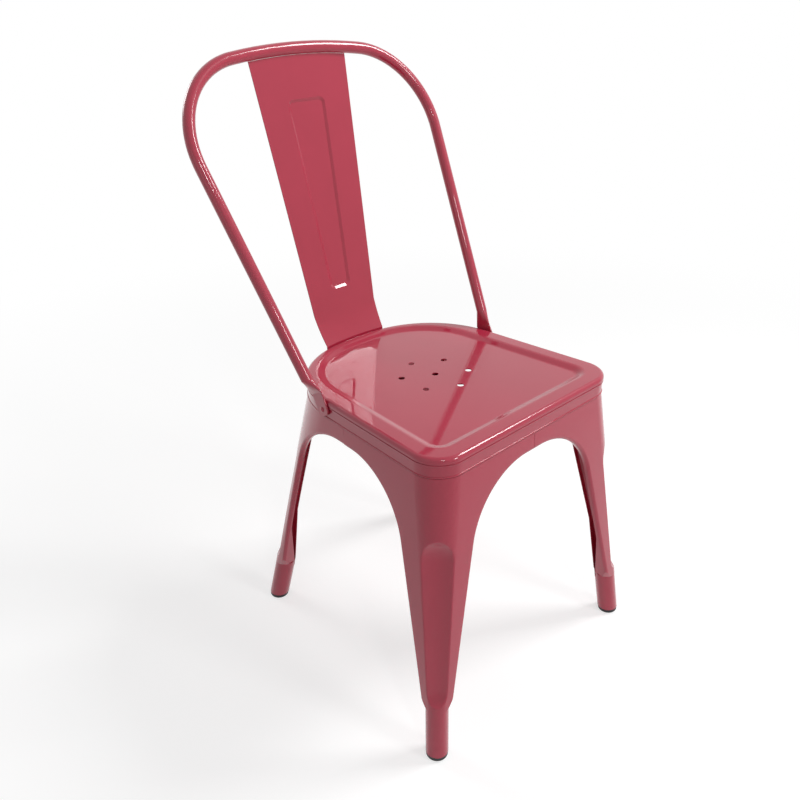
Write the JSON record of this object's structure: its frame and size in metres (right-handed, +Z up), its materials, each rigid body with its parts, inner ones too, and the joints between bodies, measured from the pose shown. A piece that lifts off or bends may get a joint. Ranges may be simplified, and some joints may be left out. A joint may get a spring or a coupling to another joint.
{
  "type": "metal dining chair",
  "caption": "Pressed-steel stacking side chair with folded fluted legs, dished seat with drain holes, bent tube back hoop and tapered splat, in gloss red paint.",
  "frame": {"origin": "middle of the chair's footprint box, on the floor", "axes": "+Z up, -Y the way the sitter faces, +X the sitter's left"},
  "size_m": [0.4442, 0.4972, 0.8519],
  "materials": {
    "paint": "gloss",
    "glide_rubber": "matte",
    "cap_plastic": "matte"
  },
  "bodies": {
    "root": {"seat_pan": "paint", "back_hoop": "paint", "back_splat": "paint", "leg_front_left": "paint", "leg_front_right": "paint", "leg_rear_left": "paint", "leg_rear_right": "paint", "brace_upper": "paint", "brace_lower": "paint", "hoop_rivets": "paint", "foot_glide_front_left": "glide_rubber", "foot_glide_front_right": "glide_rubber", "foot_glide_rear_left": "glide_rubber", "foot_glide_rear_right": "glide_rubber", "brace_cap_front_left": "cap_plastic", "brace_cap_front_right": "cap_plastic", "brace_cap_rear_left": "cap_plastic", "brace_cap_rear_right": "cap_plastic"}
  },
  "joints": []
}
